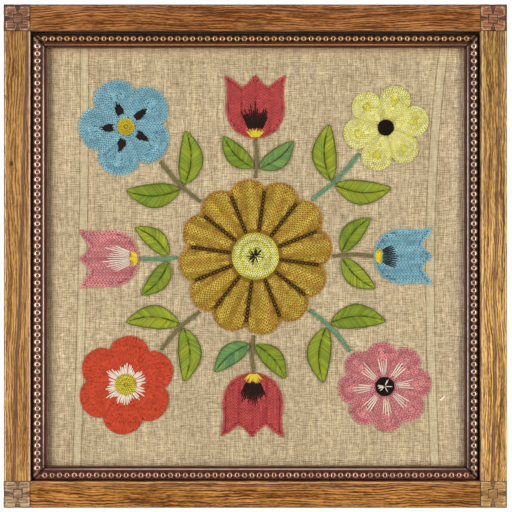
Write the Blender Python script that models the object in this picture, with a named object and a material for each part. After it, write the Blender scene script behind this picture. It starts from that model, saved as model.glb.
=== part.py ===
# Woolwork picture on linen, held in a square oak frame with a dark beaded liner.
# It lies on its back, face up: +Z leaves the picture, +Y points to its upper edge.
# Sizes are in millimetres and become metres where a mesh is made.

import math

import bmesh
import bpy
from mathutils import Matrix, Vector

MM = 0.001
JOINT = 0.3

# Oak frame
FRAME_SIDE = 508.0
RAIL_WIDTH = 27.0
RAIL_DEPTH = 22.0
BLOCK_EASE = 0.9
CARVE_DEPTH = 1.1

# Dark liner, measured inwards from the outer edge of the frame
LINER_FOOT = 10.7
SIGHT_INSET = 42.7
BEAD_LINE = 33.4
BEAD_RADIUS = 3.4
NECK_RADIUS = 1.6
BEADS_PER_SIDE = 59
SEAT_LEVEL = 16.0
# The liner is smaller than the opening and has settled down and a little to the right
LINER_DRIFT = (0.25, -0.9)

# Linen ground
LINEN_SIDE = 448.0
LINEN_UNDERSIDE = 9.0
LINEN_THICKNESS = 1.2
LINEN_CELLS = 16
LINEN_SWELL = 0.18

# Wool laid over the linen
PAD_FOOT = 10.7
PAD_TOP = 12.1
PAD_ROUNDING = 0.6
HEART_FOOT = 12.4
HEART_TOP = 13.3
STEM_WIDTH = 4.4

COLOURS = {
    "oak": ((0.36, 0.19, 0.075), 0.45),
    "dark_wood": ((0.045, 0.022, 0.014), 0.30),
    "linen": ((0.53, 0.43, 0.27), 0.90),
    "wool_gold": ((0.54, 0.33, 0.045), 0.90),
    "wool_yellow": ((0.74, 0.67, 0.14), 0.90),
    "wool_red": ((0.55, 0.055, 0.025), 0.90),
    "wool_crimson": ((0.42, 0.045, 0.06), 0.90),
    "wool_pink": ((0.66, 0.18, 0.25), 0.90),
    "wool_blue": ((0.17, 0.40, 0.52), 0.90),
    "wool_leaf": ((0.20, 0.33, 0.03), 0.90),
    "wool_stem": ((0.20, 0.20, 0.07), 0.90),
    "wool_dark": ((0.028, 0.018, 0.018), 0.90),
}

# Rail section: distance inwards from the outer edge, and distance below the face
RAIL_SECTION = (
    {"inset": 0.0, "below": RAIL_DEPTH},
    {"inset": 0.0, "below": 2.0},
    {"inset": 0.8, "below": 0.9},
    {"inset": 2.3, "below": 0.35},
    {"inset": 2.7, "below": 0.6},
    {"inset": 3.1, "below": 0.0},
    {"inset": RAIL_WIDTH - 2.2, "below": 0.0},
    {"inset": RAIL_WIDTH - 0.7, "below": 0.8},
    {"inset": RAIL_WIDTH, "below": 2.0},
    {"inset": RAIL_WIDTH, "below": RAIL_DEPTH},
)

# Liner section: inset from the frame's outer edge, and height
LINER_SECTION = (
    {"inset": 28.2, "height": LINER_FOOT},
    {"inset": 28.2, "height": 12.0},
    {"inset": 29.4, "height": 12.2},
    {"inset": 29.4, "height": SEAT_LEVEL},
    {"inset": 36.9, "height": SEAT_LEVEL},
    {"inset": 37.2, "height": 16.9},
    {"inset": 38.7, "height": 17.3},
    {"inset": 39.2, "height": 18.3},
    {"inset": 39.8, "height": 18.7},
    {"inset": 40.5, "height": 18.4},
    {"inset": 41.0, "height": 17.0},
    {"inset": 41.4, "height": 16.6},
    {"inset": 41.9, "height": 17.0},
    {"inset": 42.4, "height": 16.9},
    {"inset": SIGHT_INSET, "height": 16.2},
    {"inset": SIGHT_INSET, "height": LINER_FOOT},
)

SIDES = (
    {"side": "bottom", "turn": 0.0},
    {"side": "right", "turn": 90.0},
    {"side": "top", "turn": 180.0},
    {"side": "left", "turn": 270.0},
)

CORNERS = (
    {"corner": "bottom_left", "x": -1.0, "y": -1.0},
    {"corner": "bottom_right", "x": 1.0, "y": -1.0},
    {"corner": "top_right", "x": 1.0, "y": 1.0},
    {"corner": "top_left", "x": -1.0, "y": 1.0},
)

# Round blooms: middle, outer radius, petals, how deep the notches go, turn in degrees
BLOOMS = (
    {"name": "gold_bloom", "wool": "wool_gold", "x": 0.0, "y": 0.0, "radius": 79.0,
     "petals": 12, "notch": 0.13, "turn": 7.0, "heart": 24.0, "heart_wool": "wool_yellow"},
    {"name": "yellow_bloom", "wool": "wool_yellow", "x": 132.0, "y": 130.0, "radius": 44.0,
     "petals": 6, "notch": 0.30, "turn": 12.0, "heart": 8.5, "heart_wool": "wool_dark"},
    {"name": "blue_bloom", "wool": "wool_blue", "x": -131.0, "y": 131.0, "radius": 49.0,
     "petals": 5, "notch": 0.24, "turn": 40.0, "heart": 9.0, "heart_wool": "wool_yellow"},
    {"name": "red_bloom", "wool": "wool_red", "x": -131.0, "y": -130.0, "radius": 50.0,
     "petals": 6, "notch": 0.22, "turn": 25.0, "heart": 11.0, "heart_wool": "wool_yellow"},
    {"name": "pink_bloom", "wool": "wool_pink", "x": 131.0, "y": -132.0, "radius": 47.0,
     "petals": 8, "notch": 0.17, "turn": 5.0, "heart": 10.0, "heart_wool": "wool_dark"},
)

# Tulips stand on the four axes: direction in degrees, distance of the base, length, half width
TULIPS = (
    {"name": "tulip_north", "wool": "wool_crimson", "angle": 90.0, "base": 119.0, "length": 66.0,
     "half": 30.0},
    {"name": "tulip_west", "wool": "wool_pink", "angle": 181.0, "base": 118.0, "length": 62.0,
     "half": 29.0},
    {"name": "tulip_south", "wool": "wool_crimson", "angle": 269.0, "base": 118.0, "length": 67.0,
     "half": 31.0},
    {"name": "tulip_east", "wool": "wool_blue", "angle": 0.0, "base": 120.0, "length": 61.0,
     "half": 28.0},
)

# Half outline of a tulip: share of the length, share of the half width
TULIP_HALF = (
    {"along": 0.00, "out": 0.10},
    {"along": 0.03, "out": 0.40},
    {"along": 0.12, "out": 0.72},
    {"along": 0.28, "out": 0.93},
    {"along": 0.46, "out": 1.00},
    {"along": 0.66, "out": 0.96},
    {"along": 0.84, "out": 0.97},
    {"along": 0.98, "out": 1.06},
    {"along": 0.90, "out": 0.76},
    {"along": 0.78, "out": 0.46},
    {"along": 0.86, "out": 0.22},
)

# Stems leave the gold bloom: direction in degrees, and how far the middle bows sideways
STEMS = (
    {"toward": "tulip_east", "angle": 0.0, "bow": 1.5},
    {"toward": "yellow_bloom", "angle": 45.0, "bow": -3.0},
    {"toward": "tulip_north", "angle": 90.0, "bow": -1.5},
    {"toward": "blue_bloom", "angle": 135.0, "bow": 3.0},
    {"toward": "tulip_west", "angle": 181.0, "bow": 1.5},
    {"toward": "red_bloom", "angle": 225.0, "bow": -3.0},
    {"toward": "tulip_south", "angle": 269.0, "bow": -1.5},
    {"toward": "pink_bloom", "angle": 315.0, "bow": 3.0},
)

# One pair of leaves to a stem: share of the stem where they start, spread, length, half width
LEAF_PAIRS = (
    {"stem": "tulip_east", "start": 0.22, "spread": 46.0, "length": 46.0, "half": 10.5, "bend": 4.0},
    {"stem": "yellow_bloom", "start": 0.40, "spread": 47.0, "length": 58.0, "half": 12.5, "bend": 6.0},
    {"stem": "tulip_north", "start": 0.25, "spread": 47.0, "length": 45.0, "half": 10.5, "bend": 4.0},
    {"stem": "blue_bloom", "start": 0.40, "spread": 46.0, "length": 56.0, "half": 12.5, "bend": 6.0},
    {"stem": "tulip_west", "start": 0.22, "spread": 45.0, "length": 45.0, "half": 10.0, "bend": 4.0},
    {"stem": "red_bloom", "start": 0.42, "spread": 46.0, "length": 55.0, "half": 12.0, "bend": 6.0},
    {"stem": "tulip_south", "start": 0.24, "spread": 46.0, "length": 46.0, "half": 10.5, "bend": 4.0},
    {"stem": "pink_bloom", "start": 0.41, "spread": 47.0, "length": 57.0, "half": 12.5, "bend": 6.0},
)

POINTS_PER_PETAL = 8
GOLD_POINTS_PER_PETAL = 6
LEAF_STEPS = 9
STEM_STEPS = 5
HEART_POINTS = 20
EYE_POINTS = 32


def make_material(name):
    colour, roughness = COLOURS[name]
    material = bpy.data.materials.new(name)
    material.use_nodes = True
    shader = material.node_tree.nodes["Principled BSDF"]
    shader.inputs["Base Color"].default_value = (*colour, 1.0)
    shader.inputs["Roughness"].default_value = roughness
    shader.inputs["Metallic"].default_value = 0.0
    material.diffuse_color = (*colour, 1.0)
    return material


def finish_node(name, mesh_data, material, smooth_angle=None):
    bmesh.ops.recalc_face_normals(mesh_data, faces=mesh_data.faces)
    bmesh.ops.scale(mesh_data, vec=(MM, MM, MM), verts=mesh_data.verts)
    mesh = bpy.data.meshes.new(name)
    mesh_data.to_mesh(mesh)
    mesh_data.free()
    mesh.materials.append(material)
    if smooth_angle is not None:
        mesh.shade_smooth()
        mesh.set_sharp_from_angle(angle=math.radians(smooth_angle))
    node = bpy.data.objects.new(name, mesh)
    bpy.context.scene.collection.objects.link(node)
    return node


def loft(rings, close_ends=True):
    mesh_data = bmesh.new()
    rows = [[mesh_data.verts.new(point) for point in ring] for ring in rings]
    for lower, upper in zip(rows, rows[1:]):
        count = len(lower)
        for index in range(count):
            following = (index + 1) % count
            mesh_data.faces.new((lower[index], lower[following], upper[following], upper[index]))
    if close_ends:
        mesh_data.faces.new(list(reversed(rows[0])))
        mesh_data.faces.new(rows[-1])
    return mesh_data


def inset_outline(outline, distance):
    count = len(outline)
    area = sum(
        outline[i][0] * outline[(i + 1) % count][1] - outline[(i + 1) % count][0] * outline[i][1]
        for i in range(count)
    )
    inward = 1.0 if area > 0 else -1.0
    result = []
    for index in range(count):
        before = Vector(outline[index - 1])
        here = Vector(outline[index])
        after = Vector(outline[(index + 1) % count])
        first = (here - before).normalized()
        second = (after - here).normalized()
        normal = Vector((-(first.y + second.y), first.x + second.x))
        if normal.length < 0.2:
            normal = Vector((-first.y, first.x))
        normal.normalize()
        facing = max(0.55, normal.dot(Vector((-first.y, first.x))))
        result.append(tuple(here + normal * (inward * distance / facing)))
    return result


def pad(name, wool, outline, foot, top, rounding=PAD_ROUNDING):
    inner = inset_outline(outline, rounding)
    rings = [
        [(x, y, foot) for x, y in outline],
        [(x, y, top - rounding) for x, y in outline],
        [(x, y, top) for x, y in inner],
    ]
    mesh_data = loft(rings)
    return finish_node(name, mesh_data, materials[wool], 50.0)


def bloom_reach(bloom, angle):
    half_turns = bloom["petals"] * (angle - math.radians(bloom["turn"])) / 2.0
    fullness = abs(math.cos(half_turns)) ** 0.62
    sway = 1.0 + 0.018 * math.sin(2.0 * angle + bloom["petals"]) + 0.012 * math.sin(3.0 * angle)
    return bloom["radius"] * sway * (1.0 - bloom["notch"] * (1.0 - fullness))


def bloom_outline(bloom, per_petal):
    count = bloom["petals"] * per_petal
    outline = []
    for index in range(count):
        angle = math.radians(bloom["turn"]) + 2.0 * math.pi * index / count
        reach = bloom_reach(bloom, angle)
        outline.append((bloom["x"] + reach * math.cos(angle), bloom["y"] + reach * math.sin(angle)))
    return outline


def round_outline(x, y, radius, count):
    return [
        (
            x + radius * math.cos(2.0 * math.pi * index / count),
            y + radius * math.sin(2.0 * math.pi * index / count),
        )
        for index in range(count)
    ]


def tulip_outline(tulip):
    angle = math.radians(tulip["angle"])
    ahead = Vector((math.cos(angle), math.sin(angle)))
    aside = Vector((-ahead.y, ahead.x))
    base = ahead * tulip["base"]
    near = [
        base + ahead * (row["along"] * tulip["length"]) - aside * (row["out"] * tulip["half"])
        for row in TULIP_HALF
    ]
    middle = [base + ahead * (0.99 * tulip["length"])]
    far = [
        base + ahead * (row["along"] * tulip["length"]) + aside * (row["out"] * tulip["half"])
        for row in reversed(TULIP_HALF)
    ]
    return [tuple(point) for point in near + middle + far]


def stem_points(stem):
    angle = math.radians(stem["angle"])
    ahead = Vector((math.cos(angle), math.sin(angle)))
    aside = Vector((-ahead.y, ahead.x))
    start = ahead * (bloom_reach(BLOOMS[0], angle) + 2.0)
    goal = next((bloom for bloom in BLOOMS if bloom["name"] == stem["toward"]), None)
    if goal is None:
        tulip = next(tulip for tulip in TULIPS if tulip["name"] == stem["toward"])
        finish = ahead * (tulip["base"] - 0.8)
    else:
        middle = Vector((goal["x"], goal["y"]))
        back = start - middle
        reach = bloom_reach(goal, math.atan2(back.y, back.x))
        finish = middle + back.normalized() * (reach + 2.6)
    points = []
    for step in range(STEM_STEPS + 1):
        share = step / STEM_STEPS
        points.append(start.lerp(finish, share) + aside * (stem["bow"] * math.sin(math.pi * share)))
    return points


def path_normals(points):
    normals = []
    for index, _ in enumerate(points):
        before = points[max(0, index - 1)]
        after = points[min(len(points) - 1, index + 1)]
        along = (after - before).normalized()
        normals.append(Vector((-along.y, along.x)))
    return normals


def stem_outline(points):
    normals = path_normals(points)
    right = [point - normal * (STEM_WIDTH / 2.0) for point, normal in zip(points, normals)]
    left = [point + normal * (STEM_WIDTH / 2.0) for point, normal in zip(points, normals)]
    return [tuple(point) for point in right + list(reversed(left))]


def leaf_outline(start, angle, length, half, bend):
    ahead = Vector((math.cos(angle), math.sin(angle)))
    aside = Vector((-ahead.y, ahead.x))
    right = []
    left = []
    for step in range(1, LEAF_STEPS):
        share = step / LEAF_STEPS
        width = half * math.sin(math.pi * share ** 0.85) ** 0.80
        spine = start + ahead * (length * share) + aside * (bend * math.sin(math.pi * share))
        right.append(tuple(spine - aside * width))
        left.append(tuple(spine + aside * width))
    tip = start + ahead * length
    return [tuple(start)] + right + [tuple(tip)] + list(reversed(left))


def leaf_pair(pair, points):
    place = pair["start"] * STEM_STEPS
    index = int(place)
    spot = points[index].lerp(points[index + 1], place - index)
    along = (points[index + 1] - points[index]).normalized()
    heading = math.atan2(along.y, along.x)
    outlines = []
    for hand in (-1.0, 1.0):
        aside = Vector((-along.y, along.x)) * hand
        start = spot + aside * (STEM_WIDTH / 2.0 + 0.9)
        angle = heading + hand * math.radians(pair["spread"])
        outlines.append(leaf_outline(start, angle, pair["length"], pair["half"], hand * pair["bend"]))
    return outlines


def turned(mesh_data, degrees, drift=(0.0, 0.0)):
    spin = Matrix.Rotation(math.radians(degrees), 4, "Z")
    shift = Matrix.Translation((*drift, 0.0))
    bmesh.ops.transform(mesh_data, matrix=shift @ spin, verts=mesh_data.verts)


def cut_mitre(mesh_data):
    # Both ends stop a little short of the diagonals through the frame's corners
    for hand in (-1.0, 1.0):
        normal = Vector((hand, 1.0, 0.0)).normalized()
        point = normal * (-JOINT / 2.0)
        bmesh.ops.bisect_plane(
            mesh_data,
            geom=mesh_data.verts[:] + mesh_data.edges[:] + mesh_data.faces[:],
            dist=1e-5,
            plane_co=point,
            plane_no=normal,
            clear_outer=True,
        )
        rim = [edge for edge in mesh_data.edges if edge.is_boundary]
        bmesh.ops.contextual_create(mesh_data, geom=rim)


def make_rail(row):
    half = FRAME_SIDE / 2.0
    length = half - RAIL_WIDTH - JOINT
    rings = [
        [(x, point["inset"] - half, RAIL_DEPTH - point["below"]) for point in RAIL_SECTION]
        for x in (-length, length)
    ]
    mesh_data = loft(rings)
    turned(mesh_data, row["turn"])
    return finish_node("rail_" + row["side"], mesh_data, materials["oak"], 20.0)


def block_height(x, y):
    # A square boss stands in a sunk cross, and the four corner squares stay at full height
    across = abs(x)
    down = abs(y)
    if max(across, down) > 13.0:
        return RAIL_DEPTH - BLOCK_EASE
    if max(across, down) < 3.0:
        return RAIL_DEPTH - 0.1
    if min(across, down) < 4.6 and max(across, down) > 3.5:
        return RAIL_DEPTH - CARVE_DEPTH * (0.55 if max(across, down) > 10.0 else 1.0)
    if max(across, down) <= 3.8:
        return RAIL_DEPTH - CARVE_DEPTH
    return RAIL_DEPTH


def make_block(row):
    stations = (-13.5, -12.6, -10.4, -5.4, -4.4, -3.7, -2.9, 2.9, 3.7, 4.4, 5.4, 10.4, 12.6, 13.5)
    count = len(stations)
    middle = FRAME_SIDE / 2.0 - RAIL_WIDTH / 2.0
    centre = Vector((row["x"] * middle, row["y"] * middle, 0.0))
    mesh_data = bmesh.new()
    grid = [
        [mesh_data.verts.new(centre + Vector((x, y, block_height(x, y)))) for x in stations]
        for y in stations
    ]
    for down in range(count - 1):
        for across in range(count - 1):
            mesh_data.faces.new((
                grid[down][across],
                grid[down][across + 1],
                grid[down + 1][across + 1],
                grid[down + 1][across],
            ))
    rim = grid[0][:-1] + [line[-1] for line in grid[:-1]]
    rim += list(reversed(grid[-1][1:])) + [line[0] for line in reversed(grid[1:])]
    foot = [mesh_data.verts.new((vert.co.x, vert.co.y, 0.0)) for vert in rim]
    for index in range(len(rim)):
        following = (index + 1) % len(rim)
        mesh_data.faces.new((rim[index], foot[index], foot[following], rim[following]))
    mesh_data.faces.new(foot)
    return finish_node("block_" + row["corner"], mesh_data, materials["oak"], 25.0)


def make_liner(row):
    half = FRAME_SIDE / 2.0
    rings = [
        [(x, point["inset"] - half, point["height"]) for point in LINER_SECTION]
        for x in (-half, half)
    ]
    mesh_data = loft(rings)
    cut_mitre(mesh_data)
    turned(mesh_data, row["turn"], LINER_DRIFT)
    return finish_node("liner_" + row["side"], mesh_data, materials["dark_wood"], 40.0)


def make_beads(row):
    half = FRAME_SIDE / 2.0
    line = BEAD_LINE - half
    pitch = 2.0 * (half - BEAD_LINE) / BEADS_PER_SIDE
    foot = SEAT_LEVEL + JOINT
    stations = []
    for bead in range(-1, BEADS_PER_SIDE + 2):
        middle = line + bead * pitch
        stations.append({"x": middle - 1.7, "radius": 0.93 * BEAD_RADIUS})
        stations.append({"x": middle + 1.7, "radius": 0.93 * BEAD_RADIUS})
        stations.append({"x": middle + pitch / 2.0, "radius": NECK_RADIUS})
    rings = []
    for station in stations:
        wide = station["radius"]
        rings.append([
            (station["x"], line - wide, foot),
            (station["x"], line - 0.62 * wide, foot + 0.98 * wide),
            (station["x"], line + 0.62 * wide, foot + 0.98 * wide),
            (station["x"], line + wide, foot),
        ])
    mesh_data = loft(rings)
    cut_mitre(mesh_data)
    turned(mesh_data, row["turn"], LINER_DRIFT)
    return finish_node("bead_strip_" + row["side"], mesh_data, materials["dark_wood"], 80.0)


def linen_swell(x, y):
    edge = max(abs(x), abs(y)) / (LINEN_SIDE / 2.0)
    fade = max(0.0, 1.0 - edge ** 4)
    wave = 0.6 * math.sin(x / 47.0 + 0.8) * math.cos(y / 90.0)
    wave += 0.4 * math.cos(x / 31.0 - y / 120.0)
    return LINEN_SWELL * fade * wave


def make_linen():
    count = LINEN_CELLS + 1
    stations = [LINEN_SIDE * (index / LINEN_CELLS - 0.5) for index in range(count)]
    mesh_data = bmesh.new()
    layers = []
    for base in (LINEN_UNDERSIDE, LINEN_UNDERSIDE + LINEN_THICKNESS):
        layers.append([
            [mesh_data.verts.new((x, y, base + linen_swell(x, y))) for x in stations]
            for y in stations
        ])
    for layer, facing in zip(layers, (-1, 1)):
        for down in range(LINEN_CELLS):
            for across in range(LINEN_CELLS):
                corners = [
                    layer[down][across],
                    layer[down][across + 1],
                    layer[down + 1][across + 1],
                    layer[down + 1][across],
                ]
                mesh_data.faces.new(corners[::facing])
    rims = []
    for layer in layers:
        rim = layer[0][:-1] + [line[-1] for line in layer[:-1]]
        rim += list(reversed(layer[-1][1:])) + [line[0] for line in reversed(layer[1:])]
        rims.append(rim)
    for index in range(len(rims[0])):
        following = (index + 1) % len(rims[0])
        mesh_data.faces.new((rims[0][index], rims[0][following], rims[1][following], rims[1][index]))
    turned(mesh_data, 0.0, LINER_DRIFT)
    return finish_node("linen_ground", mesh_data, materials["linen"], 60.0)


for leftover in list(bpy.data.objects):
    bpy.data.objects.remove(leftover, do_unlink=True)

materials = {name: make_material(name) for name in COLOURS}

for side_row in SIDES:
    make_rail(side_row)
    make_liner(side_row)
    make_beads(side_row)

for corner_row in CORNERS:
    make_block(corner_row)

make_linen()

for bloom_row in BLOOMS:
    large = bloom_row is BLOOMS[0]
    petal_points = GOLD_POINTS_PER_PETAL if large else POINTS_PER_PETAL
    pad(bloom_row["name"], bloom_row["wool"], bloom_outline(bloom_row, petal_points), PAD_FOOT, PAD_TOP)
    heart = round_outline(
        bloom_row["x"], bloom_row["y"], bloom_row["heart"], EYE_POINTS if large else HEART_POINTS
    )
    heart_name = bloom_row["name"].replace("bloom", "heart")
    pad(heart_name, bloom_row["heart_wool"], heart, HEART_FOOT, HEART_TOP, 0.4)

for tulip_row in TULIPS:
    pad(tulip_row["name"], tulip_row["wool"], tulip_outline(tulip_row), PAD_FOOT, PAD_TOP)

stems = {stem_row["toward"]: stem_points(stem_row) for stem_row in STEMS}
for goal_name, centre_line in stems.items():
    pad("stem_to_" + goal_name, "wool_stem", stem_outline(centre_line), PAD_FOOT, PAD_TOP)

for pair_row in LEAF_PAIRS:
    for letter, outline in zip("ab", leaf_pair(pair_row, stems[pair_row["stem"]])):
        pad("leaf_" + letter + "_by_" + pair_row["stem"], "wool_leaf", outline, PAD_FOOT, PAD_TOP)
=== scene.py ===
import math

import bmesh
import bpy
import numpy as np
from mathutils import Matrix, Vector


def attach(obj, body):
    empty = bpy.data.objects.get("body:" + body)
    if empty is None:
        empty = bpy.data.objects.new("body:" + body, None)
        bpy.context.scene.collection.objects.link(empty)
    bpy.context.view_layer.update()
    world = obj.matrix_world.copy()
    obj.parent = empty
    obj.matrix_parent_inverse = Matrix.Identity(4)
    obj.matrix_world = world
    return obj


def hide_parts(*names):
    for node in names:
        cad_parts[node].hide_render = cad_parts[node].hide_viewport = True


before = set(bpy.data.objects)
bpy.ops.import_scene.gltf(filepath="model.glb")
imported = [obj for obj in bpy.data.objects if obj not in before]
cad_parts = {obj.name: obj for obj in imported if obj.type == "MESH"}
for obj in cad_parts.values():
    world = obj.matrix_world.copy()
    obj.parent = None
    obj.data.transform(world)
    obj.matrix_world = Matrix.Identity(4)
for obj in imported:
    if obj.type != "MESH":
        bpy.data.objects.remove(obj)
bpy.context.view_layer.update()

# Sizes are in millimetres, and become metres as each piece is finished
mm = 0.001
toMm = 1000.0
frameHalf = 254.0
fullTurn = 2.0 * math.pi
chance = np.random.default_rng(1911)


def table(columns, *rows):
    # Rows of values under named columns
    return [dict(zip(columns.split(), row)) for row in rows]


def named(columns, *rows):
    # The same, each row found by its first value
    return {row[0]: dict(zip(columns.split(), row[1:])) for row in rows}


class Sock:
    # One output socket, so shader maths reads like arithmetic
    def __init__(self, shade, out):
        self.shade = shade
        self.out = out

    def __add__(self, other):
        return self.shade.maths("ADD", self, other)

    def __sub__(self, other):
        return self.shade.maths("SUBTRACT", self, other)

    def __rsub__(self, other):
        return self.shade.maths("SUBTRACT", other, self)

    def __mul__(self, other):
        return self.shade.maths("MULTIPLY", self, other)

    def __abs__(self):
        return self.shade.maths("ABSOLUTE", self)

    __radd__ = __add__
    __rmul__ = __mul__


class Shade:
    # A material and the few ways of adding nodes to it
    def __init__(self, name, roughness=0.5, **fixed):
        self.material = bpy.data.materials.new(name)
        self.material.use_nodes = True
        self.tree = self.material.node_tree
        self.surface = self.tree.nodes["Principled BSDF"]
        self.surface.inputs["Roughness"].default_value = roughness
        for socket, value in fixed.items():
            self.surface.inputs[socket.replace("_", " ")].default_value = value

    def node(self, kind, settings=None, sockets=None, out=0):
        made = self.tree.nodes.new(kind)
        for name, value in (settings or {}).items():
            setattr(made, name, value)
        for name, value in (sockets or {}).items():
            self.feed(made.inputs[name], value)
        return Sock(self, made.outputs[out])

    def feed(self, socket, value):
        if isinstance(value, Sock):
            self.tree.links.new(value.out, socket)
        elif isinstance(value, tuple) and socket.type == "RGBA":
            socket.default_value = (*value, 1.0)
        else:
            socket.default_value = value

    def maths(self, work, first, second=0.0):
        return self.node("ShaderNodeMath", {"operation": work}, {0: first, 1: second})

    def most(self, first, second):
        return self.maths("MAXIMUM", first, second)

    def sine(self, value):
        return self.maths("SINE", value)

    def scaled(self, colour, value):
        sockets = {0: colour, 1: self.join(value, value, value)}
        return self.node("ShaderNodeVectorMath", {"operation": "MULTIPLY"}, sockets)

    def blend(self, factor, first, second):
        settings = {"data_type": "RGBA", "blend_type": "MIX", "clamp_factor": True}
        return self.node("ShaderNodeMix", settings, {0: factor, 6: first, 7: second}, 2)

    def noise(self, place, detail=2.0, roughness=0.5, scale=1.0):
        vector = self.join(*place) if isinstance(place, tuple) else place
        sockets = {"Vector": vector, "Scale": scale, "Detail": detail, "Roughness": roughness}
        return self.node("ShaderNodeTexNoise", {}, sockets)

    def span(self, value, low, high, start=0.0, finish=1.0):
        sockets = {"Value": value, "From Min": low, "From Max": high, "To Min": start, "To Max": finish}
        return self.node("ShaderNodeMapRange", {}, sockets)

    def line(self, value, middle, half, full):
        # 1 within full of the middle, falling to 0 at half
        return self.span(abs(value - middle), half, full)

    def ramp(self, value, stops):
        made = self.node("ShaderNodeValToRGB", {}, {"Fac": value})
        elements = made.out.node.color_ramp.elements
        while len(elements) < len(stops):
            elements.new(0.5)
        for element, (place, colour) in zip(elements, stops):
            element.position = place
            element.color = (*colour, 1.0)
        return made

    def place(self):
        return self.node("ShaderNodeTexCoord", out=3)

    def parts(self, vector):
        split = self.tree.nodes.new("ShaderNodeSeparateXYZ")
        self.feed(split.inputs[0], vector)
        return [Sock(self, out) for out in split.outputs]

    def join(self, x, y, z):
        return self.node("ShaderNodeCombineXYZ", {}, {0: x, 1: y, 2: z})

    def finish(self, colour, roughness=None, height=None, depth=0.0003):
        self.feed(self.surface.inputs["Base Color"], colour)
        if roughness is not None:
            self.feed(self.surface.inputs["Roughness"], roughness)
        bump = self.node("ShaderNodeBump", {}, {"Height": height, "Distance": depth, "Strength": 1.0})
        self.feed(self.surface.inputs["Normal"], bump)
        return self.material


def srgb(red, green, blue):
    def linear(value):
        share = value / 255.0
        return share / 12.92 if share <= 0.04045 else ((share + 0.055) / 1.055) ** 2.4
    return (linear(red), linear(green), linear(blue))


def tinted(colour, factor):
    return tuple(channel * factor for channel in colour)


def newVerts(made):
    return [item for item in made["geom"] if isinstance(item, bmesh.types.BMVert)]


def gridOf(cells, half):
    shape = bmesh.new()
    bmesh.ops.create_grid(shape, x_segments=cells, y_segments=cells, size=half)
    return shape


def openEdges(shape):
    return [edge for edge in shape.edges if edge.is_boundary]


def asMesh(name, shape):
    bmesh.ops.scale(shape, vec=(mm, mm, mm), verts=shape.verts)
    mesh = bpy.data.meshes.new(name)
    shape.to_mesh(mesh)
    shape.free()
    return mesh


def makePiece(name, shape, material, node, smooth):
    bmesh.ops.recalc_face_normals(shape, faces=shape.faces)
    return dressPiece(name, asMesh(name, shape), material, node, smooth)


def dressPiece(name, mesh, material, node, smooth=None):
    # One visible piece that rides on the frame in place of a plain solid
    mesh.materials.append(material)
    mesh.shade_smooth()
    if smooth:
        mesh.set_sharp_from_angle(angle=math.radians(smooth))
    piece = bpy.data.objects.new(name, mesh)
    bpy.context.scene.collection.objects.link(piece)
    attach(piece, "root")
    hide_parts(node)
    return piece


def dressNode(name, material):
    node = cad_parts[name]
    node.data.materials.clear()
    node.data.materials.append(material)


# Camera, floor and soft light from all round, strongest from the left and the right
studio = {
    "cameraHeight": 2422.0,
    "viewWidth": 516.0,
    "shiftX": 0.0013,
    "shiftY": 0.0002,
    "frameFace": 22.0,
    "floorHalf": 1500.0,
    "floorDrop": 0.4,
    "shadeEnds": (0.2535, 0.2545),
    "skyPower": 0.13,
}
# Soft panels: place, length along the frame's side and width in metres, and power in watts
panels = table(
    "place length width power",
    ((-1.06, 0.0, 0.98), 1.90, 0.46, 15.5),
    ((1.06, 0.0, 0.98), 1.90, 0.46, 15.5),
    ((0.0, 1.06, 0.98), 1.70, 0.36, 4.5),
    ((0.0, -1.06, 0.98), 1.70, 0.36, 3.5),
)


def setStudio():
    scene = bpy.context.scene
    scene.view_settings.view_transform = "Standard"
    lens = bpy.data.cameras.new("camera")
    lens.sensor_width = 36.0
    lens.lens = lens.sensor_width * (studio["cameraHeight"] - studio["frameFace"]) / studio["viewWidth"]
    lens.shift_x = studio["shiftX"]
    lens.shift_y = studio["shiftY"]
    lens.clip_end = 20.0
    camera = bpy.data.objects.new("camera", lens)
    camera.location = (0.0, 0.0, studio["cameraHeight"] * mm)
    scene.collection.objects.link(camera)
    scene.camera = camera

    for row in panels:
        panel = bpy.data.lights.new("panel", "AREA")
        panel.shape = "RECTANGLE"
        panel.size = row["length"]
        panel.size_y = row["width"]
        panel.energy = row["power"]
        light = bpy.data.objects.new("panel", panel)
        light.location = row["place"]
        light.rotation_euler = (-light.location).to_track_quat("-Z", "Y").to_euler()
        scene.collection.objects.link(light)

    world = bpy.data.worlds.new("room")
    world.use_nodes = True
    sky = world.node_tree.nodes["Background"]
    sky.inputs["Color"].default_value = (1.0, 1.0, 1.0, 1.0)
    sky.inputs["Strength"].default_value = studio["skyPower"]
    scene.world = world

    shape = gridOf(2, studio["floorHalf"])
    bmesh.ops.translate(shape, vec=(0.0, 0.0, -studio["floorDrop"]), verts=shape.verts)
    shade = Shade("white paper", roughness=0.9)
    x, y = shade.parts(shade.place())[:2]
    # White and glowing evenly round the frame; under the frame it is painted grey as shade, with no glow
    clear = shade.span(shade.most(abs(x), abs(y)), *studio["shadeEnds"])
    white = shade.blend(clear, (0.35, 0.35, 0.35), (0.92, 0.92, 0.92))
    glow = shade.blend(clear, (0.0, 0.0, 0.0), (1.0, 1.0, 1.0))
    grain = shade.noise(shade.place(), 3.0, 0.6, 900.0)
    shade.feed(shade.surface.inputs["Emission Strength"], 0.75)
    shade.feed(shade.surface.inputs["Emission Color"], glow)
    mesh = asMesh("floor", shape)
    mesh.materials.append(shade.finish(white, height=grain, depth=0.00005))
    floor = bpy.data.objects.new("floor", mesh)
    scene.collection.objects.link(floor)


setStudio()
print("studio ready")


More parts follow.
